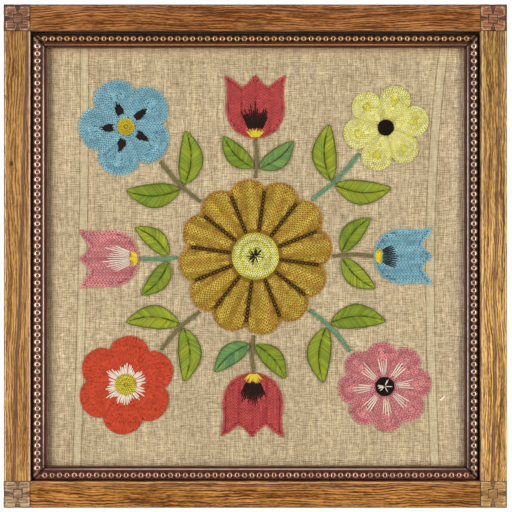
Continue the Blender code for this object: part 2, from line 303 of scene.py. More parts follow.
# Corner blocks: a square boss and a square petal in each corner, a V cut between each two
carving = {
    "half": 13.5,
    "shift": 0.9,
    "top": 22.0,
    "ease": 0.8,
    "depth": 1.5,
    "boss": 3.6,
    "moat": 1.2,
    "cutAtBoss": 0.3,
    "cutSpread": 0.26,
    "slope": 0.9,
    "cells": 50,
    "middle": 240.5,
    "petalReach": 11.2,
    "petalCorner": 0.54,
}
blocks = table(
    "corner across up light dark bold margin",
    ("bottom_left", -1, -1, (178, 148, 112), (134, 108, 86), 0.6, 1.7),
    ("bottom_right", 1, -1, (188, 146, 90), (148, 108, 64), 0.5, 1.2),
    ("top_right", 1, 1, (164, 108, 70), (116, 76, 58), 0.75, 2.6),
    ("top_left", -1, 1, (146, 100, 76), (104, 70, 58), 0.65, 2.4),
)
# Rails: one tint to each board, how bold its grain is, the darker band along it, how bright the painted
# highlight, partly wear, is along its inner chamfer and its outer edge, how wide and dark the painted shade
# on its outer margin is, how it fades along its length, and a knot
oakBoards = table(
    "side along light dark bold shift band bandLean bandDepth "
    "inner innerWear outerWear margin edge fade knot",
    ("top", "x", (164, 105, 54), (110, 60, 22), 1.1, 3.1, 0.2475, 0.0, 0.3, 26.2, 0.08, 0.15, 1.5, 0.75, 0.0,
     None),
    ("bottom", "x", (180, 120, 56), (112, 65, 24), 1.15, 11.7, -0.232, 0.0, 0.4, 25.6, 0.45, 0.1, 1.2, 0.45,
     0.0, None),
    ("left", "y", (182, 134, 75), (132, 90, 44), 0.9, 23.3, -0.2372, 0.034, 1.0, 26.3, 1.3, 0.9, 1.1, 0.7,
     -0.12, (-245.9, 93.2)),
    ("right", "y", (201, 155, 88), (134, 94, 48), 1.15, 37.9, 0.2425, 0.02, 0.75, 24.9, 0.8, 0.5, 0.9, 0.25,
     -0.18, None),
)


def oak(side, along, light, dark, bold, shift, margin, edge, band=0.0, bandLean=0.0, bandDepth=0.0, inner=0.0,
        innerWear=0.0, outerWear=0.0, fade=0.0, knot=None, carved=None):
    # Fine streaks and flecks with pointed ends, short dark pores and one darker band
    shade = Shade("oak " + side, 0.4, Coat_Weight=0.08, Coat_Roughness=0.25, Specular_IOR_Level=0.12)
    x, y, z = shade.parts(shade.place())
    length, width = (x, y) if along == "x" else (y, x)

    def streaks(often, line, across, down, roughness=0.6, detail=2.0, start=shift):
        return shade.noise((length * often + start, line * across, z * down), detail, roughness)

    sway = streaks(5.0, width, 14.0, 14.0, 0.5)
    ripple = streaks(55.0, width, 45.0, 45.0, 0.5, start=-shift)
    grain = width + (ripple - 0.5) * 0.0032 + (sway - 0.5) * 0.024
    growth = streaks(10.0, grain, 600.0, 520.0)
    fleck = streaks(50.0, grain, 860.0, 700.0)
    short = streaks(240.0, grain, 900.0, 760.0)
    broad = streaks(9.0, width, 60.0, 60.0, 0.5)
    warmth = streaks(26.0, width, 260.0, 160.0, start=-shift)
    rings = shade.sine((grain * 385.0 + fleck * 1.2) * fullTurn) * shade.span(broad, 0.35, 0.6, 0.02, 0.06)
    pores = shade.span(streaks(90.0, width, 1000.0, 900.0, 0.5, 1.0), 0.58, 0.68)
    away = abs(width - band - length * bandLean + (sway - 0.5) * 0.011)
    streak = shade.span(away, 0.0024, 0.0006) * shade.span(growth, 0.3, 0.5, 0.5, 1.0) * bandDepth
    tone = shade.span(growth * 0.31 + fleck * 0.34 + short * 0.21 + broad * 0.14 + rings, 0.398, 0.622)
    deep = tinted(srgb(*dark), 0.55 / bold)
    bright = srgb(*(min(255.0, channel + 24.0 * bold) for channel in light))
    stops = ((0.0, deep), (0.27, srgb(*dark)), (0.60, srgb(*light)), (1.0, bright))
    body = shade.ramp(tone - streak * 0.2, stops)
    body = shade.blend(shade.span(warmth, 0.5, 0.72) * 0.3, body, srgb(126, 82, 60))
    body = shade.scaled(body, length * (fade / 0.2) + 1.0)
    colour = shade.blend(pores * (0.5 * bold), body, tinted(deep, 0.6))
    colour = shade.blend(streak * 0.75, colour, srgb(104, 78, 70))
    if knot:
        fromKnot = shade.join(x * toMm - knot[0], (y * toMm - knot[1]) * 0.7, 0.0)
        far = shade.node("ShaderNodeVectorMath", {"operation": "LENGTH"}, {0: fromKnot}, 1)
        colour = shade.blend(shade.span(far, 2.5, 1.3) * 0.8, colour, srgb(58, 34, 24))
    # Painted highlight, partly wear, along the rounded edges, and painted shade where the outer edge turns
    # away
    out = frameHalf - shade.most(abs(x), abs(y)) * toMm
    high = z * toMm
    face = shade.span(high, 19.0, 19.8)
    rubbed = shade.span(fleck * 0.5 + short * 0.5, 0.36, 0.56, 0.2, 1.0)
    if carved is None:
        seam = 0.0
        shineAndWear = shade.line(out, margin + 0.9, 0.9, 0.3) * outerWear
        shineAndWear = shade.line(out, inner, 0.75, 0.3) * innerWear + shineAndWear
    else:
        # Painted highlight, partly wear, along the carved slopes and round the petals; darker in the hollows
        alongX, alongY = (abs(way) * toMm - carved for way in (x, y))
        fromX, fromY = (abs(way + carving["shift"]) for way in (alongX, alongY))
        near = shade.most(abs(alongX), abs(alongY))
        field = shade.most(shade.most(fromX, fromY), (fromX + fromY) * carving["petalCorner"])
        rubbed = rubbed * 0.7 + 0.3
        bits = shade.span(shade.noise(shade.place(), 2.0, 0.6, 420.0), 0.42, 0.6)
        slopes = shade.line(high, 21.35, 0.45, 0.15) * (bits * 0.5 + 0.4)
        petals = shade.line(field, carving["petalReach"], 0.8, 0.3) * shade.span(high, 21.0, 21.5)
        shineAndWear = shade.most(slopes, petals * (bits * 0.6 + 0.1))
        seam = shade.span(near, 12.8, 13.3) * 0.9
        sunk = shade.span(high, 21.2, 20.7) * face * shade.span(near, 12.9, 12.2)
        colour = shade.blend(sunk * (bits * 0.25 + 0.38), colour, srgb(70, 44, 38))
    # The pale cream is the painted highlight, with some wear
    colour = shade.blend(shineAndWear * rubbed * face, colour, srgb(238, 204, 160))
    # Painted shade on the outer margin, strongest towards the face, where the edge turns away from the lamps
    rim = shade.span(out, margin, margin * 0.6) * shade.span(high, 8.0, 17.0, 0.4, 1.0) * edge
    colour = shade.blend(shade.most(rim, face * seam), colour, srgb(66, 44, 42))
    height = growth * 0.4 + short * 0.3 + fleck * 0.4 + rings - pores * 0.8
    return shade.finish(colour, 0.36 + pores * 0.3 - fleck * 0.08, height, 0.00025)


for board in oakBoards:
    dressNode("rail_" + board["side"], oak(**board))
print("oak rails finished")


def step(value, low, high):
    share = min(1.0, max(0.0, (value - low) / (high - low)))
    return share * share * (3.0 - 2.0 * share)


def carvedHeight(x, y, across, up):
    # The pattern stands a little nearer the picture than the middle of the block
    rim = step(max(abs(x), abs(y)), carving["half"] - 0.9, carving["half"])
    x += across * carving["shift"]
    y += up * carving["shift"]
    far = max(abs(x), abs(y))
    near = min(abs(x), abs(y))
    reach = carving["boss"]
    boss = 1.0 - step(far, reach - 0.1, reach + 0.5)
    boss *= 0.94 + 0.06 * step(far, 1.2, reach - 0.8)
    beyond = step(far, reach + carving["moat"], reach + carving["moat"] + 0.7)
    cut = carving["cutAtBoss"] + carving["cutSpread"] * max(0.0, far - reach)
    petal = step(near, cut, cut + carving["slope"])
    petal *= 0.92 + 0.08 * step(math.hypot(abs(x) - 8.4, abs(y) - 8.4), 1.0, 4.0)
    sunk = carving["depth"] * (1.0 - max(boss, beyond * petal))
    return carving["top"] - 0.06 - sunk - carving["ease"] * rim


def makeBlock(corner, across, up, **tints):
    shape = gridOf(carving["cells"], carving["half"])
    for vert in shape.verts:
        vert.co.z = carvedHeight(vert.co.x, vert.co.y, across, up)
    for vert in newVerts(bmesh.ops.extrude_edge_only(shape, edges=openEdges(shape))):
        vert.co.z = 0.0
    bmesh.ops.contextual_create(shape, geom=openEdges(shape))
    middle = carving["middle"]
    bmesh.ops.translate(shape, vec=(across * middle, up * middle, 0.0), verts=shape.verts)
    wood = oak("block " + corner.replace("_", " "), along="x", shift=51.3 + 7.0 * across + 3.0 * up, edge=0.7,
               carved=middle, **tints)
    makePiece("carved_block_" + corner, shape, wood, "block_" + corner, 35.0)


for row in blocks:
    makeBlock(**row)
print("corner blocks carved")


# Dark liner, settled a little in the opening and rubbed to reddish brown where it stands proud
linerDrift = (0.25, -0.9)
# Lines along the moulding: inset from the frame's edge, half width and how worn each one is
wornLines = table(
    "inset half wear",
    (38.0, 0.9, 0.35),
    (39.9, 1.2, 0.5),
    (42.3, 0.6, 0.7),
)
# The ridge carries a painted highlight in each side's tint, grey-blue on the right as a painted reflection;
# seat and bead tints are lit and shaded copies, one to each side; the seat is the colour between the beads
linerSides = named(
    "ridge seat bead beadWidth",
    ("left", (236, 210, 194), (98, 60, 50), (228, 188, 166), 1.18),
    ("right", (190, 188, 198), (54, 42, 38), (208, 178, 152), 1.10),
    ("top", (190, 126, 76), (54, 34, 26), (190, 144, 98), 1.0),
    ("bottom", (200, 172, 162), (92, 52, 46), (186, 140, 116), 1.10),
)


def linerPlace(shade):
    # Inset from the frame's edge, distance to the nearest mitre and height, all in millimetres
    x, y, z = shade.parts(shade.place())
    across = abs(x - linerDrift[0] * mm)
    down = abs(y - linerDrift[1] * mm)
    return frameHalf - shade.most(across, down) * toMm, abs(across - down) * toMm, z * toMm


def mitred(shade, mitre, colour):
    # The mitre shows as a black line
    return shade.blend(shade.span(mitre, 1.3, 0.7), colour, srgb(22, 20, 22))


def darkWood(side):
    shade = Shade("dark liner " + side, Specular_IOR_Level=0.0, Coat_Roughness=0.2)
    place = shade.place()
    inset, mitre = linerPlace(shade)[:2]
    rubbed = shade.noise(place, 3.0, 0.65, 170.0)
    dirt = shade.noise(place, 3.0, 0.6, 520.0)
    wear = 0.06
    for line in wornLines:
        wear = shade.line(inset, line["inset"], line["half"], line["half"] * 0.35) * line["wear"] + wear
    wear = wear * shade.span(rubbed * 0.75 + dirt * 0.25, 0.30, 0.62, 0.45, 1.0)
    dark = shade.blend(dirt, (0.016, 0.008, 0.006), (0.055, 0.026, 0.018))
    red = shade.blend(shade.noise(place, 2.0, 0.5, 60.0), srgb(116, 62, 42), srgb(158, 104, 78))
    # Painted highlight: a thin bright line along the ridge, in each side's tint
    bright = shade.line(inset, 39.8, 0.75, 0.3) * shade.span(rubbed * 0.6 + dirt * 0.4, 0.32, 0.5, 0.5, 1.0)
    ridge = srgb(*linerSides[side]["ridge"])
    ridge = shade.blend(shade.span(mitre, 60.0, 12.0) * 0.75, ridge, srgb(82, 78, 86))
    colour = shade.blend(bright, shade.blend(wear, dark, red), ridge)
    # The seat of the beads stays dark and dull
    dull = shade.most(shade.span(inset, 37.3, 36.7), shade.span(mitre, 1.3, 0.7))
    # The seat tint differs by side: lit and shaded copies of one dark finish
    colour = shade.blend(dull, colour, srgb(*linerSides[side]["seat"]))
    shade.feed(shade.surface.inputs["Coat Weight"], bright * (1.0 - dull))
    return shade.finish(mitred(shade, mitre, colour), 0.7 - wear * 0.3, dirt, 0.0001)


def beadBronze(side):
    # Old bronzing over dark wood, dull between the beads and at the mitres
    shade = Shade("bronzed beads " + side, Specular_IOR_Level=0.1)
    place = shade.place()
    mitre, height = linerPlace(shade)[1:]
    rubbed = shade.noise(place, 3.0, 0.65, 150.0)
    dirt = shade.noise(place, 3.0, 0.6, 640.0)
    # The bead tint differs by side: lit and shaded copies of one bronzing
    tint = srgb(*linerSides[side]["bead"])
    colour = shade.blend(shade.span(rubbed, 0.35, 0.62), tinted(tint, 0.6), tint)
    colour = shade.blend(shade.span(dirt, 0.5, 0.66) * 0.5, colour, tinted(tint, 0.25))
    # Painted dark reflection on the crowns, in a dark wood brown, where the glossy tops face the dark
    # overhead
    crownReflection = shade.span(height + (rubbed - 0.5) * 0.5, 18.12, 18.45) * 0.55
    colour = shade.blend(crownReflection, colour, srgb(66, 42, 34))
    black = shade.most(shade.span(height, 17.5, 16.8), shade.span(mitre, 6.0, 2.0) * 0.75)
    colour = shade.blend(black, colour, srgb(*linerSides[side]["seat"]))
    shade.feed(shade.surface.inputs["Metallic"], (1.0 - black) * 0.88)
    return shade.finish(mitred(shade, mitre, colour), 0.19 + dirt * 0.12 + black * 0.5, dirt, 0.00006)


for side in linerSides:
    dressNode("liner_" + side, darkWood(side))

beading = {
    "line": 33.4,
    "radius": 3.42,
    "rise": 2.3,
    "pitches": 59,
    "foot": 16.3,
    "neck": 1.0,
    "around": 14,
    "rings": 10,
    "joint": 0.15,
}


def makeBeads(side, turn):
    # Beads on a neck, cut level at the foot and mitred at both ends
    line = beading["line"] - frameHalf
    pitch = -2.0 * line / beading["pitches"]
    shape = bmesh.new()
    quarter = Matrix.Rotation(math.radians(90.0), 4, "Y")
    squash = Matrix.Diagonal((1.0, linerSides[side]["beadWidth"], beading["rise"] / beading["radius"], 1.0))
    for count in range(beading["pitches"] + 1):
        place = Matrix.Translation((line + count * pitch, line, beading["foot"])) @ squash
        uneven = 1.0 + chance.uniform(-0.03, 0.02)
        bmesh.ops.create_uvsphere(shape, u_segments=beading["around"], v_segments=beading["rings"],
                                  radius=beading["radius"] * uneven, matrix=place @ quarter)
    rod = Matrix.Translation((0.0, line, beading["foot"])) @ quarter
    bmesh.ops.create_cone(shape, cap_ends=True, segments=10, radius1=beading["neck"],
                          radius2=beading["neck"], depth=-2.0 * line, matrix=rod)
    cuts = [((0.0, 0.0, beading["foot"]), (0.0, 0.0, -1.0))]
    for hand in (-1.0, 1.0):
        normal = Vector((hand, 1.0, 0.0)).normalized()
        cuts.append((normal * -beading["joint"], normal))
    for point, normal in cuts:
        cut = bmesh.ops.bisect_plane(shape, geom=shape.verts[:] + shape.edges[:] + shape.faces[:],
                                     dist=1e-5, plane_co=point, plane_no=normal, clear_outer=True)
        rim = [item for item in cut["geom_cut"] if isinstance(item, bmesh.types.BMEdge)]
        bmesh.ops.edgenet_fill(shape, edges=rim)
    spin = Matrix.Translation((*linerDrift, 0.0)) @ Matrix.Rotation(math.radians(turn), 4, "Z")
    bmesh.ops.transform(shape, matrix=spin, verts=shape.verts)
    makePiece("beads_" + side, shape, beadBronze(side), "bead_strip_" + side, 50.0)


for side, turn in (("bottom", 0.0), ("right", 90.0), ("top", 180.0), ("left", 270.0)):
    makeBeads(side, turn)
print("liner and beads finished")


# Linen: an uneven plain weave with two woven stripes, drawn a little out of true
linen = {
    "side": 448.0,
    "top": 10.2,
    "thickness": 1.2,
    "cells": 136,
    "swell": 0.18,
    "threads": 530.0,
    "colour": (199, 180, 144),
    "stripe": (203, 187, 150),
    "pit": (134, 104, 66),
    "leftShadow": (104, 72, 40),
    "tan": (216, 168, 108),
}
fluff = {"x": 189.8, "y": -144.2, "turn": 0.75, "curl": 60.0, "colour": (246, 234, 212)}
creases = table(
    "x lean from to width rise",
    (-158.0, 0.05, 70.0, 205.0, 4.0, 0.28),
    (-146.0, 0.03, 40.0, 200.0, 3.5, -0.24),
    (-96.0, -0.02, 90.0, 205.0, 5.0, 0.22),
    (-196.0, 0.01, -150.0, 150.0, 5.0, 0.22),
    (198.0, -0.02, -120.0, 190.0, 6.0, 0.20),
    (70.0, 0.04, -205.0, -120.0, 6.0, 0.20),
)
# Middle of each stripe across, as a cubic in the height over 200 mm, and half its width
stripes = table(
    "middle slope bow twist half",
    (-174.8, 3.9, -1.9, -0.2, 3.9),
    (177.0, 1.5, 8.6, 2.75, 4.1),
)


def linenLift(x, y):
    edge = max(abs(x), abs(y)) / (linen["side"] / 2.0)
    fade = max(0.0, 1.0 - edge ** 4)
    wave = 0.6 * math.sin(x / 47.0 + 0.8) * math.cos(y / 90.0) + 0.4 * math.cos(x / 31.0 - y / 120.0)
    lift = linen["swell"] * wave
    for crease in creases:
        first, last = crease["from"], crease["to"]
        line = crease["x"] + crease["lean"] * (y - first)
        ends = step(y, first, first + 40.0) * (1.0 - step(y, last - 30.0, last))
        lift += crease["rise"] * ends * math.exp(-(((x - line) / crease["width"]) ** 2))
    return lift * fade


def linenWeave():
    shade = Shade("plain linen", roughness=0.92, Specular_IOR_Level=0.15)
    x, y = shade.parts(shade.place())[:2]
    sway = shade.noise((x * 9.0, y * 9.0, 0.0)) - 0.5
    wobbleX = shade.noise((x * 120.0, y * 35.0, 1.7)) - 0.5
    wobbleY = shade.noise((x * 35.0, y * 120.0, 5.2)) - 0.5
    across = x * linen["threads"] + wobbleX * 2.0 + sway * 6.0
    down = y * (linen["threads"] * 1.04) + wobbleY * 2.0 + sway * 6.0
    warpSlub = shade.noise((across * 1.1, y * 130.0, 3.3), 2.0, 0.6)
    weftSlub = shade.noise((x * 130.0, down * 1.1, 9.1), 2.0, 0.6)
    warpTone = shade.noise((across * 0.62, y * 14.0, 2.1), 2.0, 0.6)
    weftTone = shade.noise((x * 16.0, down * 0.55, 7.7), 2.0, 0.6)
    warpWave, weftWave = (shade.sine(place * math.pi) for place in (across, down))
    warp, weft = abs(warpWave), abs(weftWave)
    over = shade.span(warpWave * weftWave, -0.4, 0.4)
    thread = warp * over + weft * (1.0 - over)
    pit = shade.span(warp + weft + (warpSlub + weftSlub - 1.0) * 2.2, 1.35, 0.45)
    slub = shade.span(warpSlub * over + weftSlub * (1.0 - over), 0.28, 0.72, 0.72, 1.26)
    slub = slub * shade.span(warpTone, 0.32, 0.68, 0.85, 1.14) * shade.span(weftTone, 0.32, 0.68, 0.93, 1.07)
    patch = shade.span(shade.noise((x * 22.0 + y * 9.0, y * 11.0, 0.4), 3.0, 0.55), 0.3, 0.7, 0.925, 1.06)
    stripe = 0.0
    edges = 0.0
    rise = y * 5.0
    for row in stripes:
        line = ((rise * (row["twist"] * mm) + row["bow"] * mm) * rise + row["slope"] * mm) * rise
        off = abs(x - (line + row["middle"] * mm))
        stripe = shade.span(off, row["half"] * mm, (row["half"] - 0.7) * mm) + stripe
        edges = shade.line(off, (row["half"] + 0.3) * mm, 0.9 * mm, 0.3 * mm) + edges
    light = shade.blend(stripe, srgb(*linen["colour"]), srgb(*linen["stripe"]))
    smooth = 1.0 - stripe * 0.45
    colour = shade.scaled(light, ((slub - 1.0) * smooth + 1.0) * patch * (1.0 - edges * 0.12))
    colour = shade.blend(pit * smooth * 0.72 + edges * 0.42, colour, srgb(*linen["pit"]))
    # Painted shadow next to the liner, warm brown on the left, and painted warm light at the top
    colour = shade.blend(shade.span(x, -0.198, -0.208) * 0.55, colour, srgb(*linen["leftShadow"]))
    colour = shade.blend(shade.span(y, 0.199, 0.207) * 0.26, colour, srgb(*linen["tan"]))
    # One bit of fluff
    leanX, leanY = math.cos(fluff["turn"]), math.sin(fluff["turn"])
    fromX, fromY = x - fluff["x"] * mm, y - fluff["y"] * mm
    along = fromX * leanX + fromY * leanY
    aside = fromY * leanX - fromX * leanY - along * along * fluff["curl"]
    bit = shade.span(abs(aside), 0.95 * mm, 0.5 * mm) * shade.span(abs(along), 3.6 * mm, 2.8 * mm)
    colour = shade.blend(bit, colour, srgb(*fluff["colour"]))
    return shade.finish(colour, height=thread * 0.7 - pit * 0.5 + slub * 0.3, depth=0.00035)


def makeLinen():
    shape = gridOf(linen["cells"], linen["side"] / 2.0)
    for vert in shape.verts:
        vert.co.z = linen["top"] + linenLift(vert.co.x, vert.co.y)
    bmesh.ops.translate(shape, vec=(*linerDrift, 0.0), verts=shape.verts)
    for vert in newVerts(bmesh.ops.extrude_face_region(shape, geom=shape.faces[:])):
        vert.co.z -= linen["thickness"]
    piece = makePiece("linen_cloth", shape, linenWeave(), "linen_ground", 60.0)


makeLinen()
print("linen laid")


# Wool stitches: two templates, a strand and a chain link, laid out by arrays
def asTemplate(shape, turns):
    # turns holds how far along and around the yarn each vertex lies, both from 0 to 1
    shape.verts.index_update()
    turns = np.array(turns)
    faces = [[vert.index for vert in face.verts] for face in shape.faces]
    corners = []
    for face in faces:
        pairs = turns[face].copy()
        for axis in (0, 1):
            if np.ptp(pairs[:, axis]) > 0.5:
                pairs[pairs[:, axis] < 0.5, axis] += 1.0
        corners.append(pairs)
    made = {
        "points": np.array([vert.co[:] for vert in shape.verts]),
        "index": np.concatenate(faces),
        "sizes": np.array([len(face) for face in faces]),
        "turns": np.concatenate(corners),
    }
    shape.free()
    return made


def strandTemplate():
    # Along from 0 to 1, across and up from -0.5 to 0.5, with rounded ends
    shape = bmesh.new()
    quarter = Matrix.Rotation(math.radians(90.0), 4, "Y")
    bmesh.ops.create_uvsphere(shape, u_segments=5, v_segments=5, radius=0.5, matrix=quarter)
    turns = []
    for vert in shape.verts:
        x, y, z = vert.co
        ring = round((math.degrees(math.acos(max(-1.0, min(1.0, x / 0.5))))) / 36.0)
        along = (1.0, 0.93, 0.66, 0.34, 0.07, 0.0)[ring]
        radius = (0.0, 0.36, 0.5, 0.5, 0.36, 0.0)[ring]
        angle = math.atan2(z, y)
        vert.co = (along, radius * math.cos(angle), radius * math.sin(angle))
        turns.append((along * 0.49, angle / fullTurn % 1.0))
    return asTemplate(shape, turns)


def linkTemplate(ring=0.36, yarn=0.14):
    # A loop of yarn: the narrow tail at 0 dips under, the wide head passes 1
    shape = bmesh.new()
    upright = Matrix.Translation((ring, 0.0, 0.0)) @ Matrix.Rotation(math.radians(90.0), 4, "X")
    bmesh.ops.create_circle(shape, segments=4, radius=yarn, matrix=upright)
    bmesh.ops.spin(shape, geom=shape.verts[:] + shape.edges[:], cent=(0.0, 0.0, 0.0), axis=(0.0, 0.0, 1.0),
                   angle=fullTurn, steps=8, use_merge=True)
    bmesh.ops.remove_doubles(shape, verts=shape.verts, dist=1e-4)
    bmesh.ops.recalc_face_normals(shape, faces=shape.faces)
    turns = []
    for vert in shape.verts:
        x, y, z = vert.co
        around = math.atan2(z, math.hypot(x, y) - ring)
        turns.append((math.atan2(y, x) / fullTurn % 1.0, around / fullTurn % 1.0))
        vert.co = (0.55 + 1.25 * x, y * (0.98 + 0.55 * x), z * 3.2 - 0.35 * (0.5 - x))
    return asTemplate(shape, turns)


strand = strandTemplate()
link = linkTemplate()
levels = {"foot": 10.35, "fill": 11.25, "stitch": 11.62, "over": 12.25, "heartFoot": 11.9, "heartFill": 12.5,
          "heart": 12.86, "heartOver": 13.2}
# The Deep dyes and darker shares colour the pads under the stitches, as painted shade in their gaps
dyes = {
    "mustard": (210, 177, 70), "gold": (217, 189, 86), "ochre": (192, 144, 60), "olive": (180, 156, 52),
    "goldDeep": (137, 103, 36), "darkBrown": (50, 35, 20), "black": (42, 32, 28), "cream": (240, 222, 202),
    "paleYellow": (250, 240, 136), "yellow": (226, 217, 80), "creamYellow": (253, 246, 184),
    "yellowDeep": (176, 164, 62), "red": (208, 80, 52), "redDeep": (184, 58, 36), "crimson": (212, 94, 90),
    "crimsonDeep": (146, 54, 56), "crimsonDark": (186, 74, 72), "pink": (229, 152, 150),
    "pinkDark": (212, 126, 128), "pinkDeep": (164, 96, 98), "blue": (150, 198, 208),
    "blueDark": (130, 180, 196), "blueDeep": (92, 130, 142), "leaf": (148, 160, 52),
    "leafDark": (131, 149, 49), "leafEdge": (112, 120, 48), "leafVein": (84, 92, 34),
    "leafBlue": (112, 148, 88), "stem": (128, 118, 76), "stemBlue": (112, 154, 116),
    "eyeYellow": (226, 198, 58),
}
woolCount = {}
woolMade = {}


def leftOf(ways):
    # A quarter turn to the left of each direction
    return np.stack([-ways[..., 1], ways[..., 0]], axis=-1)


def heading(angles):
    return np.stack([np.cos(angles), np.sin(angles)], axis=-1)


def allRound(count):
    return np.linspace(0.0, fullTurn, count, endpoint=False)


def ringOf(line):
    return np.concatenate([line, line[:1]])


def travelled(path):
    return np.concatenate([[0.0], np.cumsum(np.hypot(*np.diff(path, axis=0).T))])


def drawnIn(outline, share, middle=None):
    middle = outline.mean(axis=0) if middle is None else np.array(middle)
    return outline + (middle - outline) * share


class Stitches:
    # Gathers the stitches of one motif, then joins them as one mesh
    def __init__(self):
        self.layers = []
        self.total = 0

    def gather(self, points, index, sizes, turns, tones):
        self.layers.append((points, index + self.total, sizes, turns, tones))
        self.total += len(points)

    def lay(self, kind, starts, ends, width, thick, level, dip, tones):
        # One stitch from each start to each end; its ends dip towards the cloth
        count = len(starts)
        ahead = ends - starts
        length = np.maximum(np.hypot(*ahead.T), 0.05)
        side = leftOf(ahead) / length[:, None]
        along, across, up = kind["points"].T
        flat = starts[:, None, :] + ahead[:, None, :] * along[None, :, None]
        wide = np.broadcast_to(width, (count,))
        flat = flat + side[:, None, :] * (across[None, :] * wide[:, None])[:, :, None]
        sink = dip * np.abs(2.0 * np.clip(along, 0.0, 1.0) - 1.0) ** 3
        height = np.broadcast_to(level, (count,))[:, None] + (up * thick - sink)[None, :]
        points = np.concatenate([flat, height[:, :, None]], axis=2).reshape(-1, 3)
        size = len(along)
        index = (kind["index"][None, :] + size * np.arange(count)[:, None]).ravel()
        turns = np.broadcast_to(kind["turns"], (count, *kind["turns"].shape)).copy()
        turns[:, :, 0] *= 2.0 * length[:, None]
        self.gather(points, index, np.tile(kind["sizes"], count), turns.reshape(-1, 2),
                    np.repeat(tones, size, axis=0))

    def fill(self, outline, colour, share=1.0, foot="foot", top="fill"):
        # A low pad under the stitches, darker than their dye: painted shade where the stitches leave gaps
        shape = bmesh.new()
        bmesh.ops.create_circle(shape, cap_ends=True, segments=len(outline), radius=1.0)
        for vert, spot in zip(shape.verts, outline):
            vert.co = (*spot, levels[foot])
        for vert in newVerts(bmesh.ops.extrude_face_region(shape, geom=shape.faces[:])):
            vert.co.z = levels[top]
        bmesh.ops.triangulate(shape, faces=shape.faces[:])
        bmesh.ops.recalc_face_normals(shape, faces=shape.faces)
        shape.verts.index_update()
        points = np.array([vert.co[:] for vert in shape.verts])
        index = np.array([vert.index for face in shape.faces for vert in face.verts])
        sizes = np.full(len(shape.faces), 3)
        shape.free()
        tones = np.broadcast_to(np.array(srgb(*colour)) * share, (len(points), 3))
        self.gather(points, index, sizes, points[index][:, :2], tones)

    def join(self, node, slotName):
        points, index, sizes, turns, tones = (np.concatenate(layer) for layer in zip(*self.layers))
        name = "stitched_" + node
        mesh = bpy.data.meshes.new(name)
        mesh.vertices.add(len(points))
        mesh.vertices.foreach_set("co", (points * mm).ravel().astype(np.float32))
        mesh.loops.add(len(index))
        mesh.loops.foreach_set("vertex_index", index.astype(np.int32))
        mesh.polygons.add(len(sizes))
        mesh.polygons.foreach_set("loop_start", (np.cumsum(sizes) - sizes).astype(np.int32))
        mesh.update(calc_edges=True)
        yarn = mesh.uv_layers.new(name="yarn")
        yarn.data.foreach_set("uv", turns.ravel().astype(np.float32))
        dye = mesh.color_attributes.new(name="dye", type="FLOAT_COLOR", domain="POINT")
        full = np.concatenate([tones, np.ones((len(tones), 1))], axis=1)
        dye.data.foreach_set("color", full.ravel().astype(np.float32))
        woolCount[name] = int(np.sum(sizes - 2))
        dressPiece(name, mesh, woolYarn(slotName), node)


def woolYarn(slotName):
    if slotName not in woolMade:
        shade = Shade(slotName.replace("_", " ") + " yarn", roughness=0.95, Specular_IOR_Level=0.12)
        dye = shade.node("ShaderNodeAttribute", {"attribute_name": "dye"})
        along, around = shade.parts(shade.node("ShaderNodeUVMap", {"uv_map": "yarn"}))[:2]
        twist = shade.sine((along * 0.75 + around) * fullTurn)
        fuzz = shade.noise(shade.place(), 3.0, 0.65, 1500.0)
        colour = shade.scaled(dye, 0.93 + twist * 0.07 + (fuzz - 0.5) * 0.5)
        woolMade[slotName] = shade.finish(colour, height=twist * 0.5 + fuzz * 0.8, depth=0.00015)
    return woolMade[slotName]


def dyed(colour, count, spread=0.10):
    tone = 1.0 + chance.normal(0.0, spread, (count, 1))
    hue = 1.0 + chance.normal(0.0, spread * 0.3, (count, 3))
    return np.clip(np.array(srgb(*dyes[colour]))[None, :] * tone * hue, 0.0, 1.0)


def depthInside(outline, spots):
    # How far each spot lies inside a closed outline; below zero outside it
    near = outline[None, :, :]
    edge = (np.roll(outline, -1, axis=0) - outline)[None, :, :]
    away = spots[:, None, :] - near
    share = np.clip((away * edge).sum(2) / np.maximum((edge * edge).sum(2), 1e-9), 0.0, 1.0)
    gap = np.hypot(*np.moveaxis(away - edge * share[:, :, None], 2, 0)).min(axis=1)
    low = near[:, :, 1]
    level = spots[:, 1][:, None]
    crosses = (low > level) != (low + edge[:, :, 1] > level)
    rise = np.where(edge[:, :, 1] == 0.0, 1e-9, edge[:, :, 1])
    meets = near[:, :, 0] + edge[:, :, 0] * (level - low) / rise
    inside = (crosses & (spots[:, 0][:, None] < meets)).sum(axis=1) % 2 == 1
    return np.where(inside, gap, -gap)


def deepest(outline):
    marks = np.linspace(outline.min(axis=0), outline.max(axis=0), 31).T
    spots = np.stack(np.meshgrid(*marks), axis=2).reshape(-1, 2)
    return spots[np.argmax(depthInside(outline, spots))]


def contour(outline, middle, inset, rays=120):
    # The line at one inset all round, as seen from the middle
    directions = heading(allRound(rays))
    furthest = np.hypot(*(outline - middle).T).max() + 1.0
    reach = np.linspace(0.0, furthest, 70)
    spots = middle + directions[:, None, :] * reach[None, :, None]
    depth = depthInside(outline, spots.reshape(-1, 2)).reshape(rays, -1) - inset
    if depth[0, 0] <= 0.0:
        return None
    first = np.argmax(depth < 0.0, axis=1)
    rows = np.arange(rays)
    inner = depth[rows, first - 1]
    radius = reach[first - 1] + (reach[1] - reach[0]) * inner / (inner - depth[rows, first])
    return middle + directions * radius[:, None]


def evenly(line, pitch, closed=False):
    # Spots along a line, spaced as near to the pitch as a whole number allows
    path = ringOf(line) if closed else line
    far = travelled(path)
    count = max(2, int(round(far[-1] / pitch)))
    marks = np.linspace(0.0, far[-1], count + 1)
    return np.stack([np.interp(marks, far, path[:, axis]) for axis in (0, 1)], axis=1)


